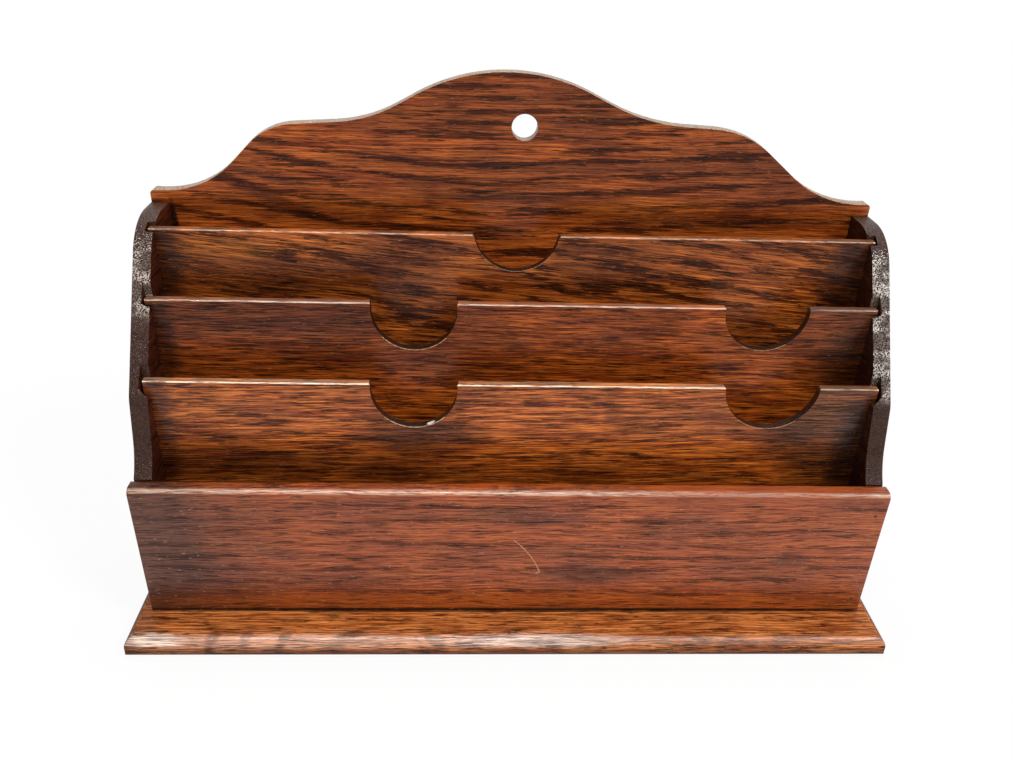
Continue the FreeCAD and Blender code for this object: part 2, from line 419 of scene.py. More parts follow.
    def add_marks(
        self, tree: bpy.types.NodeTree, colour: str, kind: str, marks: tuple[Mark, ...]
    ) -> str:
        """Lays marks over a colour, each with a ragged edge that follows the grain.

        Args:
            tree: The finish's node tree.
            colour: The name of the node that holds the colour so far.
            kind: What the marks are, for their nodes' names.
            marks: The marks.

        Returns:
            The name of the node that holds the colour with them.
        """
        for number, mark in enumerate(marks):
            tag = f"{kind}_{number}"
            spot = {
                0: "place",
                LOCATION: (mark.along, mark.across, mark.through),
                ROTATION: (0.0, 0.0, math.radians(mark.tilt)),
                SCALE: (mark.length / 2, mark.height / 2, mark.thickness / 2),
            }
            add_node(tree, tag + "_spot", "Mapping", DIVIDE_BY_SCALE, spot)
            add_node(tree, tag + "_reach", "VectorMath", LENGTH, {0: tag + "_spot"})
            lens_fray, hair_fray = 1.2 * mark.fray, mark.fray
            ragged = {0: "lens", 1: lens_fray, 2: tag + "_reach.Value"}
            add_node(tree, tag + "_ragged", "Math", TIMES_PLUS, ragged)
            frayed = {0: "hair", 1: hair_fray, 2: tag + "_ragged"}
            add_node(tree, tag + "_frayed", "Math", TIMES_PLUS, frayed)
            # The noises push the reach up by half their share, and the edge goes up with it.
            edge = 1.0 + (lens_fray + hair_fray) / 2
            softness = 0.2 + 0.25 * mark.fray
            share = {
                0: tag + "_frayed",
                FROM_LOW: edge - softness,
                FROM_HIGH: edge + softness,
                TO_LOW: mark.depth,
                TO_HIGH: 0.0,
            }
            add_node(tree, tag + "_share", "MapRange", SMOOTH, share)
            dyed = {0: tag + "_share", 1: colour, 2: linear(mark.colour)}
            add_node(tree, tag, "MixRGB", feeds=dyed)
            colour = tag
        return colour

    def add_stain(self, tree: bpy.types.NodeTree) -> None:
        """Adds the stain's colour, with its marks, its open pores and the flecks in them.

        Args:
            tree: The finish's node tree.
        """
        late_wood = {0: "streak", 1: linear(self.light), 2: linear(self.middle)}
        add_node(tree, "late_wood", "MixRGB", feeds=late_wood)
        add_node(tree, "cloud_share", "Math", TIMES, {0: "cloud", 1: self.cloud_amount})
        clouded = {0: "cloud_share", 1: "late_wood", 2: linear(self.cloud)}
        add_node(tree, "clouded", "MixRGB", feeds=clouded)
        add_node(tree, "early_share", "Math", TIMES, {0: "early", 1: self.lens_depth})
        figured = {0: "early_share", 1: "clouded", 2: linear(self.dark)}
        add_node(tree, "figured", "MixRGB", feeds=figured)
        colour = self.add_marks(tree, "figured", "mark", self.marks)
        # Fibres shade the colour up and down, and open vessels darken it.
        fibre_shade = {
            0: "fibres",
            FROM_LOW: 0.34,
            FROM_HIGH: 0.66,
            TO_LOW: 1 - self.fibre_depth,
            TO_HIGH: 1 + self.fibre_depth,
        }
        add_node(tree, "fibre_shade", "MapRange", feeds=fibre_shade)
        pore_shade = {0: "vessel", TO_LOW: 1.0, TO_HIGH: 1 - self.pore_depth}
        add_node(tree, "pore_shade", "MapRange", feeds=pore_shade)
        add_node(tree, "shade", "Math", TIMES, {0: "fibre_shade", 1: "pore_shade"})
        add_node(tree, "pored", "VectorMath", SCALED, {0: colour, "Scale": "shade"})
        # Pale flecks: wax and dust left in a few pores.
        add_node(tree, "fleck_share", "Math", TIMES, {0: "fleck", 1: self.fleck_amount})
        flecked = {0: "fleck_share", 1: "pored", 2: linear(self.fleck)}
        add_node(tree, "flecked", "MixRGB", feeds=flecked)

    def add_wear_and_highlight(self, tree: bpy.types.NodeTree) -> None:
        """Adds the upper edge's wear, where rubbing has thinned the stain, with a painted
        highlight.

        It is worn most on the round between the face and the edge, and a little on the edge
        itself, above the height where that stays rough. There its pale colour is also a painted
        highlight of the lamps, and on the back board a painted reflection of the pale backdrop.

        Args:
            tree: The finish's node tree.
        """
        _, across, through = self.lay.value
        edge_wear_and_highlight = 0.14 * self.wear_and_highlight
        add_node(tree, "up_facing", "Math", UNSIGNED, {0: "facing." + across})
        height = {0: "start.Y", 1: self.rough_below}
        add_node(tree, "above", "Math", ABOVE, height)
        add_node(tree, "below", "Math", BELOW, height)
        add_node(tree, "top_edge", "Math", TIMES, {0: "up_facing", 1: "above"})
        add_node(tree, "top_share", "Math", TIMES, {0: "top_edge", 1: edge_wear_and_highlight})
        # Up times forwards: -0.5 in the middle of the round, and 0 on the face and the edge.
        add_node(tree, "rounding", "Math", TIMES, {0: "facing." + across, 1: "facing." + through})
        round_share = {0: "rounding", FROM_LOW: -0.30, FROM_HIGH: -0.48, TO_HIGH: self.wear_and_highlight}
        add_node(tree, "round_share", "MapRange", SMOOTH, round_share)
        add_node(tree, "upper_share", "Math", LARGER, {0: "round_share", 1: "top_share"})
        # Painted highlight: the pale worn colour also stands in for the lamps' gleam here.
        add_node(tree, "worn_share", "Math", TIMES, {0: "upper_share", 1: "wear_and_highlight_breakup"})
        worn = {0: "worn_share", 1: "flecked", 2: linear(self.worn)}
        add_node(tree, "worn", "MixRGB", feeds=worn)

    def add_end_grain(self, tree: bpy.types.NodeTree) -> None:
        """Adds the end grain, which drinks the stain: dark, rough and without figure.

        Args:
            tree: The finish's node tree.
        """
        along = self.lay.value[0]
        add_node(tree, "end_facing", "Math", UNSIGNED, {0: "facing." + along})
        add_node(tree, "all_edges", "Math", TIMES, {0: "up_facing", 1: self.rough_edges})
        add_node(tree, "edge_facing", "Math", TIMES, {0: "all_edges", 1: "below"})
        add_node(tree, "edgewise", "Math", LARGER, {0: "end_facing", 1: "edge_facing"})
        end_face = {0: "edgewise", FROM_LOW: 0.30, FROM_HIGH: 0.75}
        add_node(tree, "end_face", "MapRange", SMOOTH, end_face)
        # Between two heights, each ragged by some 15 mm, pale speckles are painted on it: painted
        # glints of the lamps in its rough varnish.
        ragged = 30.0
        half = (self.glint_to - self.glint_from) / 2
        add_node(tree, "ragged", "Math", TIMES_PLUS, {0: "grit", 1: ragged, 2: "start.Y"})
        band = {0: "ragged", 1: self.glint_from + half + ragged / 2, 2: half}
        add_node(tree, "band", "Math", NEAR, band)
        patchy = {0: "patch", FROM_LOW: 0.42, FROM_HIGH: 0.58, TO_LOW: 0.15}
        add_node(tree, "patchy", "MapRange", SMOOTH, patchy)
        add_node(tree, "glinting", "Math", TIMES, {0: "band", 1: "patchy"})
        end_with_glints = {0: "glinting", 1: linear(self.end), 2: linear(self.glint)}
        add_node(tree, "end_with_glints", "MixRGB", feeds=end_with_glints)
        end_colour = {0: "end_grit", 1: "end_with_glints", 2: linear(self.end_dark)}
        add_node(tree, "end_colour", "MixRGB", feeds=end_colour)
        cover = 0.92
        add_node(tree, "end_share", "Math", TIMES, {0: "end_face", 1: cover})
        ended = {0: "end_share", 1: "worn", 2: "end_colour"}
        add_node(tree, "ended", "MixRGB", feeds=ended)

    def add_scratches(self, tree: bpy.types.NodeTree, colour: str) -> str:
        """Lays the pale lines over a colour: scratches, and painted highlights on notch lips, each
        faint where its noise breaks it.

        Args:
            tree: The finish's node tree.
            colour: The name of the node that holds the colour so far.

        Returns:
            The name of the node that holds the colour with them.
        """
        strength = {FROM_LOW: 0.35, FROM_HIGH: 0.55, TO_LOW: 0.1, TO_HIGH: 0.75}
        for number, pale_line in enumerate(self.scratches):
            tag = f"scratch_{number}"
            centre = {0: "place", 1: (-pale_line.along, -pale_line.across, 0.0)}
            add_node(tree, tag + "_centre", "VectorMath", PLUS, centre)
            flat = {0: tag + "_centre", 1: (1.0, 1.0, 0.0)}
            add_node(tree, tag + "_flat", "VectorMath", TIMES, flat)
            add_node(tree, tag + "_reach", "VectorMath", LENGTH, {0: tag + "_flat"})
            line = {0: tag + "_reach.Value", 1: pale_line.radius, 2: pale_line.half_width}
            add_node(tree, tag + "_line", "Math", NEAR, line)
            half = (pale_line.high - pale_line.low) / 2
            span = {0: "start.Y", 1: pale_line.low + half, 2: half}
            add_node(tree, tag + "_span", "Math", NEAR, span)
            start = pale_line.along - (FAR if pale_line.both_sides else 0.0)
            add_node(tree, tag + "_side", "Math", ABOVE, {0: "start.X", 1: start})
            add_node(tree, tag + "_piece", "Math", TIMES, {0: tag + "_line", 1: tag + "_span"})
            add_node(tree, tag + "_half", "Math", TIMES, {0: tag + "_piece", 1: tag + "_side"})
            faint = {0: pale_line.broken_by, **strength}
            add_node(tree, tag + "_faint", "MapRange", SMOOTH, faint)
            add_node(tree, tag + "_share", "Math", TIMES, {0: tag + "_half", 1: tag + "_faint"})
            dyed = {0: tag + "_share", 1: colour, 2: linear(pale_line.colour)}
            add_node(tree, tag, "MixRGB", feeds=dyed)
            colour = tag
        return colour

    def add_relief(self, tree: bpy.types.NodeTree) -> None:
        """Adds the open pores, the brushed coat's unevenness and the rough end grain.

        Args:
            tree: The finish's node tree.
        """
        # Heights in steps of 0.07 mm.
        step = 0.07 * MM
        pit, ridge, bead, broken_fibre = -0.45, 0.5, 1.0, 6.0
        add_node(tree, "open_pore", "Math", LARGER, {0: "vessel", 1: "early"})
        add_node(tree, "pits", "Math", TIMES, {0: "open_pore", 1: pit})
        add_node(tree, "ridges", "Math", TIMES_PLUS, {0: "streaks", 1: ridge, 2: "pits"})
        brushed = {0: "brushing", 1: self.brush_depth, 2: "ridges"}
        add_node(tree, "brushed", "Math", TIMES_PLUS, brushed)
        add_node(tree, "beaded", "Math", TIMES_PLUS, {0: "beads", 1: bead, 2: "brushed"})
        add_node(tree, "end_rough", "Math", TIMES, {0: "grit", 1: "end_face"})
        height = {0: "end_rough", 1: broken_fibre, 2: "beaded"}
        add_node(tree, "height", "Math", TIMES_PLUS, height)
        bump = {"Strength": 1.0, "Distance": step, "Height": "height"}
        add_node(tree, "relief", "Bump", feeds=bump)
        # The varnish sinks into open pores, which look matt, and fills out over the arrises.
        matt_pores = {0: "early", TO_LOW: 0.42, TO_HIGH: 0.55}
        add_node(tree, "matt_pores", "MapRange", feeds=matt_pores)
        face_coat = {0: "open_pore", TO_LOW: self.varnish, TO_HIGH: 0.45 * self.varnish}
        add_node(tree, "face_coat", "MapRange", feeds=face_coat)
        arris_coat = {0: "rounding", FROM_LOW: -0.12, FROM_HIGH: -0.38}
        add_node(tree, "arris_coat", "MapRange", SMOOTH, arris_coat)
        add_node(tree, "coat_left", "Math", LARGER, {0: "face_coat", 1: "arris_coat"})


@dataclass(frozen=True)
class DividerOak(StainedOak):
    """Thin divider oak: its upper edge rubbed pale and painted with a highlight, its notches rough
    and dark.
    """

    end: str = "#1e1009"
    end_dark: str = "#130a05"
    rough_edges: float = 1.0


@dataclass(frozen=True)
class PlainFinish:
    """A small part's finish: two shades in a fine grit, with a matching bump, in mm."""

    name: str
    colour: str
    shade: str
    grit: float
    metallic: float
    roughness: float
    bump: float = 0.03

    def material(self) -> bpy.types.Material:
        """Makes the finish.

        Returns:
            The material.
        """
        material = bpy.data.materials.new(self.name)
        tree = new_tree(material)
        add_node(tree, "coords", "TexCoord")
        grit = {"Vector": "coords.Object", "Scale": 1 / (self.grit * MM), "Detail": 3.0}
        add_node(tree, "grit", "TexNoise", feeds=grit)
        shades = {0: "grit", 1: linear(self.colour), 2: linear(self.shade)}
        add_node(tree, "shades", "MixRGB", feeds=shades)
        add_node(tree, "relief", "Bump", feeds={"Distance": self.bump * MM, "Height": "grit"})
        shine = {
            "Base Color": "shades",
            "Metallic": self.metallic,
            "Roughness": self.roughness,
            "Normal": "relief",
        }
        add_node(tree, "surface", "BsdfPrincipled", feeds=shine)
        add_node(tree, "output", "OutputMaterial", feeds={"Surface": "surface"})
        return material


# The base: paler and rubbed, with a thin coat, and pale flashes along the nose that are
# painted highlights.
BASE_OAK = StainedOak(
    "stained_oak_base",
    lay=Lay.FLAT,
    light="#d88544",
    middle="#964616",
    dark="#471804",
    ring_spacing=7.0,
    lens_length=7.0,
    lens_height=0.9,
    lens_amount=-0.02,
    lens_depth=0.7,
    pore_amount=0.02,
    cloud_amount=0.15,
    wear_and_highlight=0.25,
    worn="#e0b49c",
    brush_depth=2.5,
    sheen_spread=0.22,
    varnish=0.25,
    shift=(310.0, 40.0, 7.0),
    marks=(
        # Painted shade on the left end, and in the corner at the front board's foot.
        Mark(-168.0, -46.0, 16.0, 40.0, 0.4),
        Mark(0.0, -36.0, 340.0, 2.4, 0.8, fray=0.3),
        # Painted highlights on the nose, and the dark streaks of grain that cross them.
        Mark(-95.0, -53.2, 150.0, 7.0, 0.6, fray=1.2, colour="#eab294", through=6.8, thickness=7.0),
        Mark(-160.0, -53.0, 24.0, 6.0, 0.85, colour="#fae2d2", through=7.4, thickness=5.0),
        Mark(10.0, -53.2, 74.0, 7.0, 0.72, fray=1.2, colour="#fae2d2", through=7.4, thickness=4.8),
        Mark(-134.0, -52.5, 7.0, 4.5, 0.6, tilt=35.0),
        Mark(-119.0, -52.0, 6.0, 4.0, 0.5, tilt=35.0),
        Mark(-102.0, -52.5, 7.0, 4.0, 0.5, tilt=30.0),
        Mark(-73.0, -52.0, 16.0, 4.5, 0.6, tilt=15.0),
        Mark(-36.0, -52.5, 12.0, 4.0, 0.5, tilt=-25.0),
        Mark(12.0, -54.0, 24.0, 1.6, 0.5),
        Mark(-8.0, -52.6, 20.0, 0.9, 0.55, tilt=4.0),
        Mark(34.0, -53.4, 26.0, 1.1, 0.55, tilt=-5.0),
        Mark(84.0, -52.5, 12.0, 2.0, 0.6, tilt=-20.0),
        Mark(101.0, -53.0, 16.0, 2.0, 0.5, tilt=20.0),
        # Painted shade on the foot, below the nose.
        Mark(0.0, -55.0, 900.0, 14.0, 0.55, fray=0.3, thickness=7.6),
        Mark(0.0, -55.0, 900.0, 14.0, 0.5, fray=0.3, thickness=3.2),
    ),
)

# The back: its rings are cut so low that they sweep across it in wide, dark figures, and its
# rough upper edge is painted pale grey, a painted reflection of the pale backdrop.
BACK_OAK = StainedOak(
    "stained_oak_back",
    ring_from=165.0,
    ring_spacing=9.5,
    ring_crowding=0.007,
    ring_share=0.13,
    ring_bend=0.0009,
    ring_bend_from=20.0,
    ring_slope=-0.06,
    lens_length=26.0,
    lens_height=1.5,
    lens_amount=0.03,
    # These pale worn and end colours are a painted reflection of the backdrop on its upper edge.
    worn="#ddd0c2",
    end="#b8a48e",
    end_dark="#86705c",
    rough_edges=1.0,
    shift=(0.0, 0.0, 31.0),
    marks=(
        Mark(95.0, 200.0, 90.0, 34.0, 0.35),
        Mark(0.0, 226.0, 150.0, 34.0, 0.4, colour="#4a210c"),
        Mark(102.0, 172.0, 100.0, 8.5, 0.6),
        Mark(-75.0, 178.0, 80.0, 9.0, 0.2, colour="#bd641e"),
        Mark(60.0, 179.0, 60.0, 8.0, 0.35, colour="#bd641e"),
        Mark(104.0, 178.0, 16.0, 9.0, 0.4),
        Mark(-10.0, 181.5, 56.0, 4.0, 0.6),
        Mark(0.0, 184.0, 90.0, 16.0, 0.35),
        Mark(-30.0, 197.0, 110.0, 7.0, 0.45),
        Mark(40.0, 196.0, 100.0, 6.0, 0.45, tilt=3.0),
        # A near-black line in the corner that it makes with the left side board.
        Mark(
            -156.2, 162.0, 3.8, 29.0, 0.95, fray=0.4, colour="#0a0503", through=48.8, thickness=6.0
        ),
        Mark(-105.0, 176.5, 46.0, 5.0, 0.7, tilt=-21.0),
        Mark(-112.0, 189.0, 38.0, 4.0, 0.6, tilt=-10.0),
    ),
)

# The sides: nearly black where little light comes, with pale speckles on the front edge
# between two heights, which are painted glints of the lamps.
LEFT_SIDE_OAK = StainedOak(
    "stained_oak_side_left",
    lay=Lay.ENDWAYS,
    light="#5a2714",
    middle="#3c170b",
    dark="#210a04",
    cloud="#260e07",
    rough_edges=1.0,
    glint="#d6c6b6",
    glint_from=139.0,
    glint_to=165.5,
    shift=(17.0, 5.0, 93.0),
)

# The right side: a darker copy of the same oak, painted darker as shade, since its inner face is
# turned away from the key lamp.
SHADED_RIGHT_SIDE_OAK = StainedOak(
    "stained_oak_side_right",
    lay=Lay.ENDWAYS,
    light="#482010",
    middle="#301309",
    dark="#1b0803",
    cloud="#200b06",
    rough_edges=1.0,
    glint_from=112.0,
    glint_to=165.0,
    shift=(71.0, 25.0, 53.0),
)

# The front: the thickest coat, smooth and red, with a few pale flecks in its pores.
FRONT_OAK = StainedOak(
    "stained_oak_front",
    light="#ba5d20",
    middle="#983e12",
    dark="#3a1104",
    ring_spacing=7.0,
    ring_share=0.12,
    lens_length=16.0,
    lens_height=0.8,
    lens_amount=-0.03,
    lens_depth=0.65,
    fibre_depth=0.34,
    fleck_amount=0.6,
    worn="#f2c6a8",
    brush_depth=1.0,
    varnish=0.8,
    wave=3.5,
    patch_share=0.6,
    pore_amount=0.02,
    cloud_amount=0.45,
    shift=(131.0, 60.0, 11.0),
    marks=(
        # The left end, duller and greyer.
        Mark(-172.0, 45.0, 70.0, 130.0, 0.6, fray=0.4, colour="#35211a"),
        Mark(-160.0, 45.0, 90.0, 140.0, 0.4, fray=0.7, colour="#35211a"),
        Mark(-100.0, 24.0, 120.0, 26.0, 0.3),
        # Painted shade along the foot, in the joint with the base, and a warmer band above it.
        Mark(0.0, 9.9, 400.0, 3.0, 1.0, fray=0.3, colour="#160703"),
        Mark(0.0, 15.0, 330.0, 8.0, 0.35, fray=0.6, colour="#b55c1c"),
        # The hook at the scratch's lower end.
        Mark(11.6, 32.8, 2.6, 0.8, 0.8, tilt=35.0, fray=0.1, colour="#d69a70"),
        Mark(-105.0, 45.0, 24.0, 7.0, 0.4),
        Mark(5.0, 64.0, 64.0, 9.0, 0.5),
        Mark(38.0, 32.0, 58.0, 8.0, 0.5),
        Mark(127.0, 41.0, 20.0, 8.0, 0.45),
        Mark(106.0, 58.0, 30.0, 10.0, 0.2),
    ),
    # Not a chip: it dims the painted highlight on the right of the top edge, where the lamps' gleam
    # fades.
    chips_and_dimmed_highlights=(Mark(112.0, 76.0, 120.0, 6.0, 0.6, colour="#93451f"),),
    scratches=(PaleArc(-27.9, 19.2, 42.7, 33.0, 51.5),),
)

# The front divider: the brightest, orange where light falls in, with painted shade at both ends.
FRONT_DIVIDER_OAK = DividerOak(
    "stained_oak_divider_front",
    light="#e07a2a",
    middle="#963f0c",
    dark="#381203",
    lens_length=13.0,
    lens_height=0.9,
    lens_depth=0.75,
    varnish=0.72,
    wear_and_highlight=1.25,
    worn="#ffe2bc",
    rough_below=115.0,
    pore_amount=0.04,
    grain_slope=-0.02,
    shift=(211.0, 13.0, 77.0),
    marks=(
        Mark(-40.0, 91.0, 48.0, 16.0, 0.6, colour="#301409"),
        Mark(43.0, 104.0, 9.0, 9.0, 0.45),
        Mark(-100.0, 70.0, 130.0, 28.0, 0.55),
        Mark(20.0, 66.0, 150.0, 16.0, 0.35),
        Mark(142.0, 96.0, 46.0, 70.0, 0.72, colour="#33200f"),
        # Painted shade at both ends, where the side boards shade it.
        Mark(-157.0, 90.0, 16.0, 90.0, 0.7, colour="#240d04"),
        Mark(156.0, 84.0, 22.0, 60.0, 0.8, colour="#1c0a04"),
    ),
    chips_and_dimmed_highlights=(
        # A chip out of the left notch's lip.
        Mark(
            -37.6,
            98.2,
            4.2,
            2.6,
            1.0,
            tilt=20.0,
            fray=0.1,
            colour="#eadfd4",
            through=-11.6,
            thickness=2.8,
        ),
        # Painted shade on the right end of the top, which dims its painted highlight.
        Mark(141.0, 117.6, 44.0, 4.0, 0.7, colour="#55301a"),
    ),
    scratches=(
        # Painted highlights on the notch lips.
        LipHighlight(-44.5, 114.83, 18.95, 94.0, 101.0, "#e8bf98"),
        LipHighlight(112.5, 118.08, 21.2, 96.0, 101.0, "#b98a66"),
    ),
)

# The middle divider: short, even figure, quieter and redder.
MIDDLE_DIVIDER_OAK = DividerOak(
    "stained_oak_divider_middle",
    light="#c2611b",
    middle="#86370c",
    dark="#340e02",
    cloud="#481b0d",
    lens_length=11.0,
    lens_height=0.8,
    lens_depth=0.48,
    wear_and_highlight=0.85,
    worn="#f2cdb0",
    rough_below=144.6,
    pore_amount=0.05,
    grain_slope=0.01,
    shift=(17.0, 77.0, 5.0),
    marks=(
        Mark(-105.0, 141.0, 120.0, 20.0, 0.62, colour="#3a1a10"),
        Mark(-110.0, 128.0, 110.0, 30.0, 0.3, colour="#3a1a10"),
        Mark(142.0, 134.0, 52.0, 40.0, 0.45, colour="#46281a"),
        # Painted shade at both ends, where the side boards shade it.
        Mark(-156.0, 128.0, 14.0, 60.0, 0.7, colour="#240d04"),
        Mark(157.0, 116.0, 36.0, 54.0, 0.75, colour="#1c0a04"),
    ),
    # Painted shade on the right end of the top, which dims its painted highlight.
    chips_and_dimmed_highlights=(Mark(142.0, 147.2, 52.0, 4.0, 0.65, colour="#4c3226"),),
    scratches=(
        # Painted highlights on the notch lips.
        LipHighlight(-45.0, 143.64, 18.95, 124.0, 131.0, "#d8a880"),
        LipHighlight(110.5, 145.64, 18.95, 126.0, 130.0, "#b98a66"),
    ),
)

# The rear divider: bold figure that climbs to the left, under dark clouds.
REAR_DIVIDER_OAK = DividerOak(
    "stained_oak_divider_rear",
    light="#c66a25",
    middle="#823a0e",
    dark="#2b0c02",
    ring_spacing=8.0,
    ring_slope=0.2,
    lens_length=14.0,
    lens_height=1.5,
    lens_amount=0.05,
    rough_below=169.8,
    grain_slope=0.08,
    shift=(95.0, 7.0, 45.0),
    marks=(
        Mark(-105.0, 151.0, 110.0, 17.0, 0.6),
        Mark(-128.0, 164.0, 50.0, 9.0, 0.3, colour="#b06a28"),
        Mark(-52.0, 158.0, 44.0, 32.0, 0.5),
        Mark(34.0, 160.0, 38.0, 22.0, 0.5),
        Mark(58.0, 167.0, 28.0, 8.0, 0.5),
        # Painted shade at both ends, where the side boards shade it.
        Mark(-156.0, 155.0, 16.0, 60.0, 0.75, colour="#240d04"),
        Mark(154.0, 152.0, 30.0, 50.0, 0.8, colour="#1c0a04"),
    ),
    # A painted highlight on the notch lip.
    scratches=(LipHighlight(-0.5, 174.39, 18.95, 155.0, 163.0, "#a87a58"),),
)

# Drawn steel: a bright, slightly soft gleam over a grey grain, which is drawn coarser than
# the real drawing marks so that it shows.
PIN_STEEL = PlainFinish(
    "bright_drawn_steel", "#8d8a85", "#5e5a55", grit=0.4, metallic=1.0, roughness=0.38
)

# Wood stopping, pressed in: small round spots, dull and a little darker than the stain, with
# their wood dust drawn coarse so that it shows.
DARK_STOPPING = PlainFinish(
    "dark_wood_stopping", "#5c321c", "#3a1c10", grit=0.5, metallic=0.0, roughness=0.5
)


# ---------------------------------------------------------------- boards


@dataclass(frozen=True)
class Board:
    """One board of the rack, with its arrises eased as sandpaper leaves them.

    Lengths are in mm and angles in degrees. An edge is sharp when it turns by more than
    sharp_from, and one no longer than facet belongs to a hole or a fillet. Points within
    same_point of each other are merged, and so are faces that turn by less than same_plane.
    """

    node: str
    slot: str
    finish: StainedOak
    arris: float
    sharp_from: float = 38.0
    facet: float = 0.45
    same_point: float = 0.01
    same_plane: float = 0.3
    smooth_to: float = 30.0

    def build(self) -> bpy.types.Object:
        """Copies the solid, joins its facets and eases its sharp edges.

        Returns:
            The piece, which stands for the solid.
        """
        deselect_all()
        source = frame["nodes"][self.node]
        piece = source.copy()
        piece.data = source.data.copy()
        piece.name = self.node + "_dressed"
        piece.data.name = piece.name
        piece.parent = None
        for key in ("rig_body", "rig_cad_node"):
            if key in piece:
                del piece[key]
        bpy.context.scene.collection.objects.link(piece)
        make_active(piece)
        bpy.ops.mesh.customdata_custom_splitnormals_clear()
        bpy.ops.object.mode_set(mode="EDIT")
        bpy.ops.mesh.select_all(action="SELECT")
        bpy.ops.mesh.remove_doubles(threshold=self.same_point * MM)
        bpy.ops.mesh.dissolve_limited(angle_limit=math.radians(self.same_plane))
        bpy.ops.mesh.select_mode(type="EDGE")
        bpy.ops.mesh.select_all(action="DESELECT")
        self.select_arrises(piece)
        bpy.ops.mesh.bevel(
            offset=self.arris * MM, offset_type="OFFSET", segments=2, clamp_overlap=False
        )
        bpy.ops.object.mode_set(mode="OBJECT")
        bpy.ops.object.shade_smooth_by_angle(angle=math.radians(self.smooth_to))
        weighting = piece.modifiers.new("flats", "WEIGHTED_NORMAL")
        weighting.keep_sharp = True
        bpy.ops.object.modifier_apply(modifier=weighting.name)
        return piece

    def select_arrises(self, piece: bpy.types.Object) -> None:
        """Selects the sharp outer edges, and leaves out the short facets of holes and fillets.

        Args:
            piece: The board, in edit mode.
        """
        mesh = bmesh.from_edit_mesh(piece.data)
        for edge in mesh.edges:
            if len(edge.link_faces) == 2 and edge.is_convex:
                turned = math.degrees(edge.calc_face_angle(0.0))
                edge.select = turned > self.sharp_from and edge.calc_length() > self.facet * MM
        mesh.select_flush_mode()
        bmesh.update_edit_mesh(piece.data)

    def dress(self, piece: bpy.types.Object) -> None:
        """Gives the piece its finish and its place in the rack.

        Args:
            piece: The board's piece.
        """
        piece.data.materials.clear()
        piece.data.materials.append(self.finish.material())
        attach(piece, BODY)
        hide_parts(self.node)
        log.info("%s: %d faces", piece.name, len(piece.data.polygons))


@dataclass
class BoardSet:
    """Boards of the rack that are made one after another."""

    boards: tuple[Board, ...]

    def make(self) -> None:
        """Builds and dresses each board."""
        for board in self.boards:
            board.dress(board.build())


@dataclass
class Carcase(BoardSet):
    """The fixed boards: base, back, two sides and the front."""

    boards: tuple[Board, ...] = (
        Board("base_board", "oak_base", BASE_OAK, arris=0.5),
        Board("back_board", "oak_back", BACK_OAK, arris=0.5),
        Board("side_board_left", "oak_sides", LEFT_SIDE_OAK, arris=0.6),
        Board("side_board_right", "oak_sides", SHADED_RIGHT_SIDE_OAK, arris=0.6),
        Board("front_board", "oak_front", FRONT_OAK, arris=0.5),
    )


@dataclass
class Dividers(BoardSet):
    """The three thin boards between the pockets."""

    boards: tuple[Board, ...] = (
        Board("divider_front", "oak_dividers", FRONT_DIVIDER_OAK, arris=0.35),
        Board("divider_middle", "oak_dividers", MIDDLE_DIVIDER_OAK, arris=0.35),
        Board("divider_rear", "oak_dividers", REAR_DIVIDER_OAK, arris=0.35),
    )


@dataclass
class Fixings:
    """Panel pins and the stopping over them."""

    steel: PlainFinish = PIN_STEEL
    stopping: PlainFinish = DARK_STOPPING

    def make(self) -> None:
        """Gives the fixings their finishes on the solids themselves."""
        steel, stopping = self.steel.material(), self.stopping.material()
        for node in ("front_board_pins", "back_board_pins", "base_pins"):
            self.finish(node, steel)
        for node in ("front_pin_stopping", "back_pin_stopping"):
            self.finish(node, stopping)

    def finish(self, node: str, material: bpy.types.Material) -> None:
        """Puts one finish on a node.

        Args:
            node: The node's name.
            material: Its finish.
        """
        mesh = frame["nodes"][node].data
        mesh.materials.clear()
        mesh.materials.append(material)
        log.info("%s: %s", node, material.name)


# ---------------------------------------------------------------- studio


@dataclass(frozen=True)
class Lamp:
    """A white soft box, placed by direction in degrees and by distance from the rack, in m."""

    name: str
    azimuth: float
    elevation: float
    distance: float
    width: float
    height: float
    radiance: float

    def make(self, target: Vector) -> None:
        """Adds the lamp.

        Args:
            target: The point that it faces.
        """
        turn, rise = math.radians(self.azimuth), math.radians(self.elevation)
        away = Vector(
            (math.sin(turn) * math.cos(rise), -math.cos(turn) * math.cos(rise), math.sin(rise))
        )
        light = bpy.data.lights.new(self.name, "AREA")
        light.shape = "RECTANGLE"
        light.size, light.size_y = self.width, self.height
        light.energy = self.radiance * math.pi * self.width * self.height
        lamp = bpy.data.objects.new(self.name, light)
        lamp.location = target + away * self.distance
        lamp.rotation_euler = away.to_track_quat("Z", "Y").to_euler()
        bpy.context.scene.collection.objects.link(lamp)


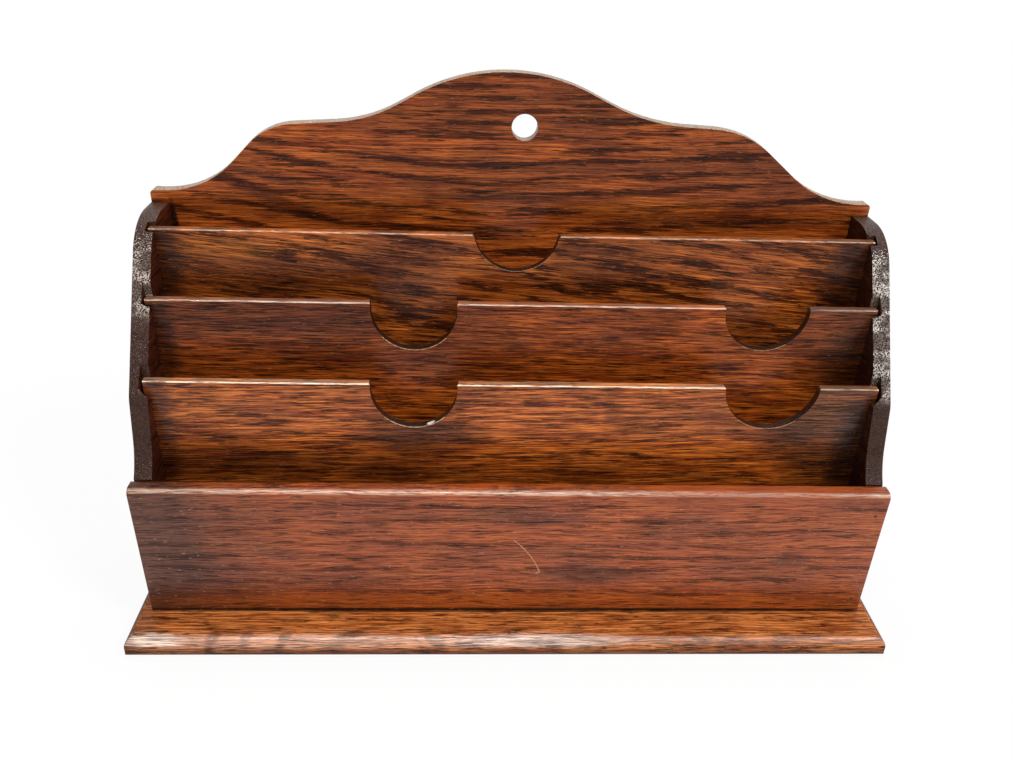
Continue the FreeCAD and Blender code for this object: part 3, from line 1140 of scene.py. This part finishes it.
@dataclass
class Studio:
    """Camera, lamps, pale world and white floor, in metres and degrees."""

    camera_place: tuple[float, float, float] = (-0.0210, -0.3438, 0.3040)
    pitch: float = 29.56
    yaw: float = 2.82
    roll: float = 2.06
    focal_pixels: float = 880.5
    sensor_mm: float = 36.0
    floor_size: float = 8.0
    floor_thickness: float = 0.02
    fill: float = 0.07
    lit_point: tuple[float, float, float] = (0.0, 0.0, 0.1)
    lamps: tuple[Lamp, ...] = (
        Lamp("window_left", -26.0, 58.0, 1.5, 0.42, 0.10, 46.0),
        Lamp("window_front", 4.0, 60.0, 1.5, 0.42, 0.10, 46.0),
        Lamp("key_right", 55.0, 45.0, 3.2, 0.68, 0.68, 34.0),
        Lamp("sky_back", 180.0, 66.0, 1.8, 1.2, 0.8, 6.2),
    )

    def make_camera(self) -> None:
        """Adds the camera."""
        pitch, yaw, roll = (math.radians(a) for a in (self.pitch, self.yaw, self.roll))
        forward = Vector(
            (math.sin(yaw) * math.cos(pitch), math.cos(yaw) * math.cos(pitch), -math.sin(pitch))
        )
        right = Vector((math.cos(yaw), -math.sin(yaw), 0.0))
        up = right.cross(forward)
        x_axis = math.cos(roll) * right + math.sin(roll) * up
        y_axis = -math.sin(roll) * right + math.cos(roll) * up
        turn = Matrix((x_axis, y_axis, -forward)).transposed()
        data = bpy.data.cameras.new("camera")
        data.sensor_width = self.sensor_mm
        data.lens = self.focal_pixels * self.sensor_mm / FRAME_WIDTH
        data.clip_start, data.clip_end = 0.01, 100.0
        camera = bpy.data.objects.new("camera", data)
        camera.matrix_world = Matrix.Translation(self.camera_place) @ turn.to_4x4()
        bpy.context.scene.collection.objects.link(camera)
        bpy.context.scene.camera = camera

    def make_world(self) -> None:
        """Makes the world: pale where it is seen or mirrored, and elsewhere a faint fill."""
        world = bpy.data.worlds.new("studio")
        tree = new_tree(world)
        self.add_seen(tree)
        add_node(tree, "strength", "MapRange", feeds={0: "seen", TO_LOW: self.fill})
        add_node(tree, "pale", "Background", feeds={"Strength": "strength"})
        add_node(tree, "output", "OutputWorld", feeds={"Surface": "pale"})
        bpy.context.scene.world = world

    def add_seen(self, tree: bpy.types.NodeTree) -> None:
        """Adds a node that is 1 where the eye, a mirror or a glass looks, and else 0.

        Args:
            tree: The node tree.
        """
        add_node(tree, "path", "LightPath")
        rays = {0: "path.Is Camera Ray", 1: "path.Is Glossy Ray"}
        add_node(tree, "opaque", "Math", LARGER, rays)
        add_node(tree, "seen", "Math", LARGER, {0: "opaque", 1: "path.Is Transmission Ray"})

    def make_floor(self) -> None:
        """Makes the floor, a matt white board.

        It looks near white round the rack, where it keeps a faint shadow, and wholly white
        further off.
        """
        deselect_all()
        bpy.ops.mesh.primitive_plane_add(size=self.floor_size, location=(0.0, 0.0, 0.0))
        floor = bpy.context.object
        floor.name = "floor"
        bpy.ops.object.mode_set(mode="EDIT")
        bpy.ops.mesh.select_all(action="SELECT")
        bpy.ops.mesh.extrude_region_move(
            TRANSFORM_OT_translate={"value": (0.0, 0.0, -self.floor_thickness)}
        )
        bpy.ops.mesh.select_all(action="SELECT")
        bpy.ops.mesh.normals_make_consistent(inside=False)
        bpy.ops.object.mode_set(mode="OBJECT")
        bpy.ops.object.transform_apply(location=True, rotation=True, scale=True)
        material = bpy.data.materials.new("matt_white_board")
        tree = new_tree(material)
        self.add_seen(tree)
        add_node(tree, "coords", "TexCoord")
        add_node(tree, "reach", "VectorMath", LENGTH, {0: "coords.Object"})
        whiter = {0: "reach.Value", FROM_LOW: 0.2, FROM_HIGH: 0.6, TO_LOW: 0.90}
        add_node(tree, "whiter", "MapRange", feeds=whiter)
        add_node(tree, "share", "Math", TIMES, {0: "seen", 1: "whiter"})
        add_node(tree, "matt", "BsdfDiffuse", feeds={"Color": linear("#eeeeec")})
        add_node(tree, "glow", "Emission", feeds={"Strength": 1.0})
        add_node(tree, "surface", "MixShader", feeds={0: "share", 1: "matt", 2: "glow"})
        add_node(tree, "output", "OutputMaterial", feeds={"Surface": "surface"})
        floor.data.materials.append(material)

    def make(self) -> None:
        """Sets the studio up."""
        self.make_camera()
        self.make_world()
        self.make_floor()
        for lamp in self.lamps:
            lamp.make(Vector(self.lit_point))
        bpy.context.scene.view_settings.view_transform = "Standard"
        log.info("studio: %d lamps", len(self.lamps))


def main() -> None:
    """Builds the studio and dresses the rack."""
    logging.basicConfig(level=logging.INFO, format="%(name)s: %(message)s")
    Studio().make()
    Carcase().make()
    Dividers().make()
    Fixings().make()
    deselect_all()


if __name__ == "__main__":
    main()
